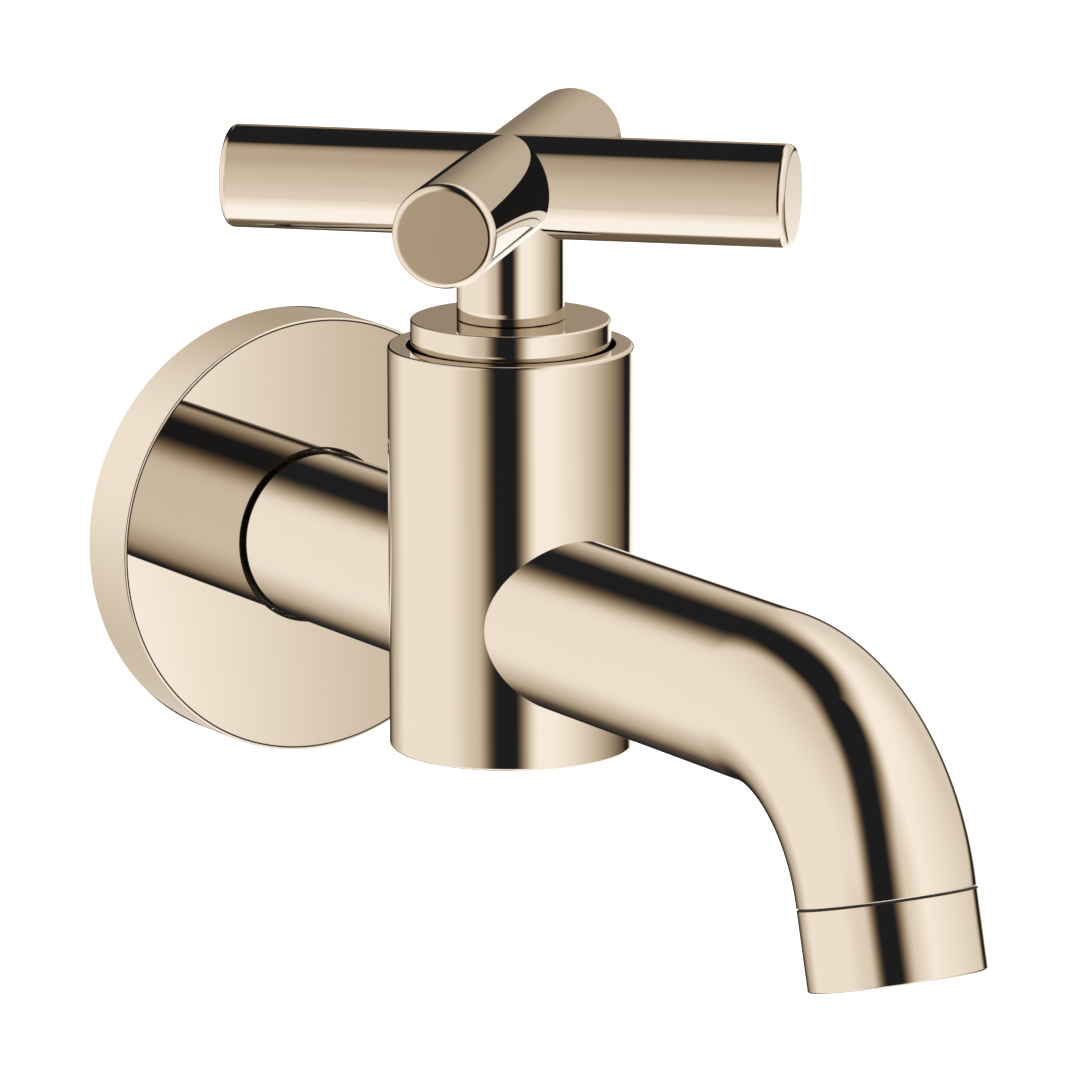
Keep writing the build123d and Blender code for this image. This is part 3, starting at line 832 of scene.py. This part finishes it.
def screw_hole(surface, step, screw_height):
    """Fill the window in the stem's wall up to the grub screw's hole, and line the hole."""
    border = window_border(window_half) * step
    out = border / np.abs(border).max(axis=1, keepdims=True) * window_half * step
    ring = border / np.linalg.norm(border, axis=1, keepdims=True) * screw_hole_radius
    rows, normals = [], []
    for share in np.linspace(0, 1, window_rows):
        spread = out * (1 - share) + ring * share
        outward = spokes_at(pi / 2 - spread[:, 0] / stem_radius)
        rows.append(upright(stem_radius * outward) + np.outer(screw_height + spread[:, 1], UP))
        normals.append(outward)
    surface.patch(rows, normals, 1)
    back = rows[-1].copy()
    back[:, 1] = body_axis_y + pocket_radius
    inward = np.stack([-ring[:, 0], 0 * ring[:, 0], -ring[:, 1]], axis=1) / screw_hole_radius
    surface.patch([rows[-1], back], inward)
    middle = np.broadcast_to(np.array([0, body_axis_y + pocket_radius, screw_height]), back.shape)
    surface.patch([back, middle], INTO_WALL)


def window_border(half):
    """Corners of a square border of grid cells, once round and closed."""
    side = np.arange(-half, half + 1)
    top = [(x, half) for x in side]
    right = [(half, y) for y in side[::-1][1:]]
    bottom = [(x, -half) for x in side[::-1][1:]]
    left = [(-half, y) for y in side[1:]]
    return np.array(top + right + bottom + left, float)


# Nipple with its real thread, and the foam ring


def threaded_nipple():
    """Brass nipple: right-hand thread, smooth spigot with its groove, a hexagon through both."""
    surface = Surface()
    angles = around(nipple_columns)
    spokes = spokes_at(angles)
    start, shoulder, top = -nipple_end_y, -nipple_shoulder_y, -nipple_near_y
    heights = np.linspace(start, shoulder, int((shoulder - start) / thread_pitch * thread_rows))
    rows = [thread_radius(height, angles / (2 * pi))[:, None] * spokes + height * UP for height in heights]
    grid = out_of_wall(np.array(rows))
    surface.patch(grid, smooth_normals(grid))
    groove_low = -ring_high[1] - groove_play
    groove_high = -ring_low[1] + groove_play
    spigot = outline(
        (0, shoulder),
        (spigot_radius, shoulder),
        (spigot_radius, groove_low),
        (groove_radius, groove_low),
        (groove_radius, groove_high),
        (spigot_radius, groove_high),
        (spigot_radius, top, fine_edge),
        (0, top),
    )[1:7]
    neck = strip((thread_neck_radius, shoulder), (spigot_radius, shoulder), (0, 1))
    surface.turned([neck, *spigot], out_of_wall, out_of_wall, columns=nipple_columns)
    key_hexagon(surface, angles, start, top)
    piece("threaded_nipple", surface, "tap", "wall_nipple", "bare_brass")


def key_hexagon(surface, angles, start, top):
    """Hexagon for the key, right through the nipple, and the two end faces round it."""
    spokes = spokes_at(angles)
    flat_columns = nipple_columns // 6
    reach = nipple_key_size / 2 / np.cos(angles % (pi / 3) - pi / 6)
    reach[flat_columns::flat_columns] = reach[0]
    key = reach[:, None] * spokes
    ends = ((start, thread_start_radius, -UP), (top, spigot_radius - fine_edge, UP))
    for height, edge_radius, facing in ends:
        face = [edge_radius * spokes + height * UP, key + height * UP]
        surface.patch(out_of_wall(np.array(face)), out_of_wall(facing))
    for flat in range(6):
        side = slice(flat * flat_columns, (flat + 1) * flat_columns + 1)
        middle = spokes[flat * flat_columns + flat_columns // 2]
        wall = np.array([key[side] + start * UP, key[side] + top * UP])
        surface.patch(out_of_wall(wall), out_of_wall(-middle))


def thread_radius(height, turns):
    """Radius of the thread at a height and share of a turn: chamfered at its start, run out at its end."""
    wave = np.cos(2 * pi * (height / thread_pitch - turns)) / 2
    flank = np.clip(wave * thread_flatness + 0.5, 0, 1)
    crest = nipple_radius - thread_depth * (1 - flank)
    crest = np.minimum(crest, thread_start_radius + height + nipple_end_y)
    run_out = np.clip((-nipple_shoulder_y - height) / thread_pitch * thread_run_out, 0, 1)
    return thread_neck_radius + (crest - thread_neck_radius) * run_out


def smooth_normals(grid):
    """Normals of a grid that closes round the Y axis, from its neighbouring points."""
    along = np.gradient(grid, axis=0)
    wrapped = np.concatenate([grid[:, -2:-1], grid, grid[:, 1:2]], axis=1)
    sideways = np.gradient(wrapped, axis=1)[:, 1:-1]
    normals = np.cross(along, sideways)
    normals /= np.linalg.norm(normals, axis=2, keepdims=True)
    outward = grid * (RIGHT + UP)
    return normals * np.sign((normals * outward).sum(axis=2).mean())


def foam_ring():
    """Foam gasket in the rosette's rebate, its edges rounded where it is pressed."""
    surface = Surface()
    outer_radius = radius_across_x("rosette_gasket")
    wall_side, plate_side = -gasket_high[1], -gasket_low[1]
    surface.turned(outline(
        (outer_radius - gasket_width, wall_side, foam_edge),
        (outer_radius, wall_side, foam_edge),
        (outer_radius, plate_side, foam_edge),
        (outer_radius - gasket_width, plate_side, foam_edge),
    ), out_of_wall, out_of_wall)
    ring = piece("foam_ring", surface, "rosette", "rosette_gasket", "grey_foam")


dress_nodes()
body_shell()
body_rim()
collar_ring()
rosette_cover()
rosette_bore()
inlet_tube()
spout_arm()
aerator_sleeve()
cross_bar("front_bar", front_bar_angle, handle_finishes, front_bar_mirror_from)
cross_bar("side_bar", side_bar_angle, side_bar_finishes, side_bar_mirror_from)
stem_sleeve()
threaded_nipple()
foam_ring()
for name in ("body_shell", "rosette_cover", "spout_arm", "aerator_sleeve", "front_bar", "threaded_nipple",
             "foam_ring"):
    bpy.data.objects[name].visible_glossy = False


# Camera, where the photograph's was


def place_camera():
    """Camera with the photograph's framing."""
    azimuth = radians(-32.094)
    elevation = radians(12.53)
    roll = radians(-0.184)
    distance = 1077.65
    aim_right = 3.483
    aim_up = 7.797
    back = Vector((sin(azimuth) * cos(elevation), -cos(azimuth) * cos(elevation), sin(elevation)))
    right = Vector((cos(azimuth), sin(azimuth), 0))
    up = back.cross(right)
    aim = Vector((0, body_axis_y, 0)) + right * aim_right + up * aim_up
    rolled_right = right * cos(roll) + up * sin(roll)
    rolled_up = up * cos(roll) - right * sin(roll)
    data = bpy.data.cameras.new("camera")
    data.sensor_width = 36.0
    data.lens = 294.1
    data.clip_start = 50 * MM
    data.clip_end = 20000 * MM
    camera = add_object("camera", data)
    camera.matrix_world = Matrix.Translation((aim + back * distance) * MM) @ Matrix(
        (rolled_right, rolled_up, back)).transposed().to_4x4()
    bpy.context.scene.camera = camera


# Studio light


# Angles are degrees, a height is an angle above level, and a pair says where a soft step starts and
# ends. What is called hazy holds where hazy metal shows the set, and not where a sharp mirror does.
left_bearing = -113
right_bearing = 68
wall_bearing = 160
past_first_mirror = 1.5
twice_dim = 0.08
twice_paler = 0.45
again_dim = 0.4
light_strength = 1.5
# Lightness of the set, and the colour that the metal shows where it mirrors it
seen_in_metal = (
    (0.0, unlit_metal),
    (0.1, (0.100, 0.068, 0.040)),
    (0.2, (0.200, 0.140, 0.082)),
    (0.4, (0.400, 0.302, 0.196)),
    (0.6, (0.600, 0.489, 0.357)),
    (0.8, (0.800, 0.688, 0.556)),
    (0.88, (0.880, 0.760, 0.622)),
    (1.0, (1.000, 0.920, 0.840)),
)


class Number:
    """A number that a node tree works out, written with plain arithmetic."""

    def __init__(self, tree, socket):
        self.tree = tree
        self.socket = socket

    def worked(self, operation, *others):
        """A Math node over this number and others."""
        made = node(self.tree, "ShaderNodeMath", operation=operation)
        for place, value in enumerate((self, *others)):
            if isinstance(value, Number):
                self.tree.links.new(value.socket, made.inputs[place])
            else:
                made.inputs[place].default_value = value
        return Number(self.tree, made.outputs[0])

    def __add__(self, other):
        return self.worked("ADD", other)

    def __sub__(self, other):
        return self.worked("SUBTRACT", other)

    def __rsub__(self, other):
        return self.worked("MULTIPLY", -1).worked("ADD", other)

    def __mul__(self, other):
        return self.worked("MULTIPLY", other)

    def __truediv__(self, other):
        return self.worked("DIVIDE", other)

    def __neg__(self):
        return self.worked("MULTIPLY", -1)

    def or_more(self, other):
        """The larger of this number and another."""
        return self.worked("MAXIMUM", other)

    def or_less(self, other):
        """The smaller of this number and another."""
        return self.worked("MINIMUM", other)

    def over(self, limit):
        """1 where this number is over a limit, and 0 elsewhere."""
        return self.worked("GREATER_THAN", limit)

    def apart(self, other):
        """Length of the diagonal over this number and another."""
        return (self * self + other * other).worked("SQRT")

    def step(self, start, end):
        """Smooth step from 0 at the start to 1 at the end, which may lie below the start."""
        made = node(self.tree, "ShaderNodeMapRange", interpolation_type="SMOOTHSTEP",
                    Value=self.socket, From_Min=start, From_Max=end)
        return Number(self.tree, made.outputs["Result"])

    def dimmed(self, share, where):
        """This number, less a share of it where the field given is 1."""
        return self * (1 - where * share)


def light_path(tree):
    """What the renderer says of a ray, by name."""
    path = node(tree, "ShaderNodeLightPath")
    return {output.name: Number(tree, output) for output in path.outputs}


def direction_dot(tree, direction, constant):
    """Dot product of a direction with a constant one."""
    made = node(tree, "ShaderNodeVectorMath", operation="DOT_PRODUCT")
    tree.links.new(direction, made.inputs[0])
    made.inputs[1].default_value = constant
    return Number(tree, made.outputs["Value"])


def bearing(tree, direction, centre):
    """Angle of a direction round the vertical, measured from one bearing, in degrees.

    Bearing 0 points away from the wall and 90 to the right.
    """
    turn = radians(centre)
    front = direction_dot(tree, direction, (sin(turn), -cos(turn), 0))
    side = direction_dot(tree, direction, (cos(turn), sin(turn), 0))
    return side.worked("ARCTAN2", front).worked("DEGREES")


def left_panel(aside, height, hazy):
    """Large soft panel to the left, which fades to its top and to the front."""
    hazy_turn = 10
    front_half = 64
    back_half = 54
    wider_low = 19
    wider_part = (30, -15)
    hazy_wider = 3
    top = 30
    top_fade = 38
    hazy_top_fade = 7
    soft_edge = (1.23, 0.77)
    lean = 3
    lean_part = (15, -12)
    front_edge = (69, 47)
    front_dim = 0.3
    front_part = (18, 51)
    front_kept = 0.85
    front_kept_part = (-10, 12)
    back_dim = 0.35
    back_part = (-38, -62)
    bright = 0.84
    upper_dim = 0.18
    hazy_upper_dim = 0.13
    upper_part = (10, 65)
    hazy_low_gain = 0.09
    low_part = (10, -25)
    sharp = 1 - hazy
    aside = aside - hazy * hazy_turn
    wider = height.step(*wider_part) * (wider_low - hazy * hazy_wider) + hazy * hazy_wider
    across = (aside / front_half).or_more(-aside / (wider + back_half))
    above = (height - top).or_more(0) / (hazy * hazy_top_fade + top_fade)
    panel = across.apart(above).step(*soft_edge)
    edge = aside - height.step(*lean_part) * lean + lean
    front = edge.step(*front_part) * (1 - sharp * height.step(*front_kept_part) * front_kept)
    panel = (panel * edge.step(*front_edge)).dimmed(front_dim, front)
    panel = panel.dimmed(back_dim, sharp * aside.step(*back_part))
    upper = height.step(*upper_part) * (hazy * hazy_upper_dim + upper_dim)
    return panel * (bright - upper + hazy * height.step(*low_part) * hazy_low_gain)


def right_panel(aside, height, hazy):
    """Large soft panel to the right, whose lower part fades towards the wall."""
    half = 86
    wider_high = 10
    wider_part = (20, 60)
    top = 20
    top_fade = 58
    soft_edge = 0.13
    softer = 0.08
    softer_part = (30, 65)
    turned_from = -60
    turned_span = 95
    turned_power = 1.3
    slope_from = 32
    slope_rise = 0.36
    low_fall = 0.72
    low_part = (-4, -12)
    upper_fall = 0.28
    upper_part = (60, 15)
    bright = 0.92
    hazy_dim = 0.27
    hazy_dim_part = (27, 52)
    hazy_dim_heights = (30, 18)
    hazy_back_dim = 0.4
    hazy_back_part = (62, 88)
    front_dim = 0.24
    front_part = (-50, -80)
    front_heights = (-8, 6)
    cut_part = (58, 72)
    cut_heights = (17, 24)
    strip_bright = 0.9
    strip_heights = (-16, -20)
    strip_start = (40, 48)
    strip_end = (82, 76)
    sharp = 1 - hazy
    wider = height.step(*wider_part) * wider_high + half
    above = (height - top).or_more(0) / top_fade
    beyond = (-aside / half).or_more(aside / wider).apart(above) - 1
    panel = (beyond / (height.step(*softer_part) * softer + soft_edge)).step(1, -1)
    turned = ((aside - turned_from).or_more(0) / turned_span).worked("POWER", turned_power)
    slope = (aside - slope_from).or_more(0) * slope_rise
    low = (height - slope * sharp).step(*low_part)
    fall = height.step(*upper_part) * upper_fall + low * low_fall
    panel = panel * (1 - turned.or_less(1) * fall) * bright
    panel = panel.dimmed(hazy_dim, hazy * aside.step(*hazy_dim_part) * height.step(*hazy_dim_heights))
    panel = panel.dimmed(hazy_back_dim, hazy * aside.step(*hazy_back_part))
    panel = panel.dimmed(front_dim, sharp * height.step(*front_heights) * aside.step(*front_part))
    panel = panel * (1 - hazy * aside.step(*cut_part) * height.step(*cut_heights))
    lit_strip = (height - slope).step(*strip_heights) * aside.step(*strip_start) * aside.step(*strip_end)
    return panel.or_more(lit_strip * strip_bright)


def lit_floor(aside, height):
    """Pale floor under the set, dim beside the wall."""
    edge = (-22, -40)
    bright = 0.75
    low_gain = 0.21
    low_part = (-30, -65)
    wall_dim = 0.85
    wall_part = (30, 18)
    lit = height.step(*edge) * (height.step(*low_part) * low_gain + bright)
    return lit.dimmed(wall_dim, aside.worked("ABSOLUTE").step(*wall_part))


def light_colour(tree, lightness):
    """Colour of the light that the metal shows as wanted."""
    stops = [(place, [value / metal / light_strength for value, metal in zip(seen, metal_colour)])
             for place, seen in seen_in_metal]
    return ramp(tree, lightness.socket, stops)


def studio_light():
    """Two large soft panels with a dark gap between them, a dark ceiling and a pale floor below."""
    world = bpy.data.worlds.new("studio")
    bpy.context.scene.world = world
    world.use_nodes = True
    tree = world.node_tree
    path = light_path(tree)
    sharp = path["Is Singular Ray"]
    second = path["Glossy Depth"].over(past_first_mirror)
    # Sharp light reflected twice comes from the other side of the set
    twice = second * sharp
    seen_from = node(tree, "ShaderNodeTexCoord").outputs["Generated"]
    x, y, z = node(tree, "ShaderNodeSeparateXYZ", Vector=seen_from).outputs
    depth = Number(tree, y) * (1 - twice * 2)
    direction = node(tree, "ShaderNodeCombineXYZ", X=x, Y=depth.socket, Z=z).outputs[0]
    height = Number(tree, z).worked("ARCSINE").worked("DEGREES")
    hazy = (1 - sharp) * (1 - second)
    lightness = left_panel(bearing(tree, direction, left_bearing), height, hazy)
    lightness = lightness.or_more(right_panel(bearing(tree, direction, right_bearing), height, hazy))
    lightness = lightness.or_more(lit_floor(bearing(tree, direction, wall_bearing), height))
    lightness = lightness.dimmed(again_dim, (1 - sharp) * second).dimmed(twice_dim, twice)
    # Two mirrors tint the light twice, so that light is paler to begin with
    untinted = [(metal_colour[0] / value) ** twice_paler for value in metal_colour]
    paler = node(tree, "ShaderNodeMix", data_type="RGBA", blend_type="MULTIPLY", Factor=twice.socket,
                 A=light_colour(tree, lightness), B=(*untinted, 1))
    seen = node(tree, "ShaderNodeMix", data_type="RGBA", Factor=path["Is Camera Ray"].socket,
                A=paler.outputs["Result"], B=(1, 1, 1, 1))
    background = tree.nodes["Background"]
    background.inputs["Strength"].default_value = light_strength
    tree.links.new(seen.outputs["Result"], background.inputs["Color"])


# Scrims and floor


def scrim(name, grid, faces_inwards, reach, lightness_of):
    """Sheet of diffuser cloth beside the rosette, lit on one side and seen in its mirror only."""
    mesh = bpy.data.meshes.new(name)
    faces = grid_faces(*grid.shape[:2])
    if faces_inwards:
        faces = faces[:, ::-1]
    mesh.from_pydata((grid.reshape(-1, 3) * MM).tolist(), [], faces.tolist())
    made = add_object(name, mesh)
    cloth = Finish(name)
    tree = cloth.tree
    tree.nodes.remove(cloth.shader)
    parts = node(tree, "ShaderNodeSeparateXYZ", Vector=cloth.point())
    places = [Number(tree, axis) / MM for axis in parts.outputs]
    glow = node(tree, "ShaderNodeEmission", Color=light_colour(tree, lightness_of(*places)),
                Strength=light_strength)
    path = light_path(tree)
    behind = Number(tree, node(tree, "ShaderNodeNewGeometry").outputs["Backfacing"])
    far = path["Ray Length"].over(reach * MM)
    again = path["Glossy Depth"].over(past_first_mirror)
    hidden = behind.or_more(far).or_more(again).or_more(1 - path["Is Singular Ray"])
    cloth.show(mixed_shader(tree, hidden.socket, glow.outputs["Emission"], see_through(tree)))
    mesh.materials.append(cloth.material)
    for kind in ("camera", "diffuse", "transmission", "shadow"):
        setattr(made, "visible_" + kind, False)


def front_scrim():
    """Upright sheet before the rosette's face, brighter to the left."""
    left, right = -6.0, 56.0
    bottom, top = -40.0, 21.0
    distance = -50.0
    reach = 51.0
    bright = 0.91
    fall = -0.42
    fall_part = (-12, 54)
    low_gain = 0.045
    low_part = (7, -33)
    grid = np.array([[(x, distance, z) for x in (left, right)] for z in (bottom, top)])

    def lightness(x, y, z):
        """Lightness by the place across and up the sheet."""
        return x.step(*fall_part) * fall + z.step(*low_part) * low_gain + bright

    scrim("front_scrim", grid, False, reach, lightness)


def rim_scrim():
    """Sheet rolled round the rosette's edge, brightest to the left."""
    gap = 0.75
    back = 3.0
    reach = 9.0
    bright = 0.38
    left_gain = 0.475
    left_part = (-3, 60)
    low_dim = 0.27
    low_part = (66, 122)
    ring = (rosette_radius + gap) * spokes_at(around(fine_columns), RIGHT, UP)
    grid = np.stack([ring - rosette_thickness * INTO_WALL, ring + back * INTO_WALL])

    def lightness(x, y, z):
        """Lightness by the angle from the top round to the left."""
        angle = (-x).worked("ARCTAN2", z).worked("DEGREES")
        return angle.step(*left_part) * left_gain + bright - angle.step(*low_part) * low_dim

    scrim("rim_scrim", grid, True, reach, lightness)


def pale_floor():
    """Plain white floor well below the tap."""
    half = 6000 * MM
    height = -450 * MM
    mesh = bpy.data.meshes.new("floor")
    corners = [(x * half, y * half, height) for x, y in ((-1, -1), (1, -1), (1, 1), (-1, 1))]
    mesh.from_pydata(corners, [], [(0, 1, 2, 3)])
    floor = add_object("floor", mesh)
    white = Finish("floor", Base_Color=(0.9, 0.9, 0.9, 1), Roughness=0.8,
                   Emission_Color=(1, 1, 1, 1), Emission_Strength=1.0)
    from_below = node(white.tree, "ShaderNodeNewGeometry").outputs["Backfacing"]
    white.show(mixed_shader(white.tree, from_below, white.seen, see_through(white.tree)))
    mesh.materials.append(white.material)
    floor.visible_glossy = False


place_camera()
studio_light()
front_scrim()
rim_scrim()
pale_floor()
bpy.context.scene.view_settings.view_transform = "Standard"
# A sharp reflection may pass many thin walls of the handle, collar and rim
walls_passed = 32
bpy.context.scene.cycles.transparent_max_bounces = walls_passed
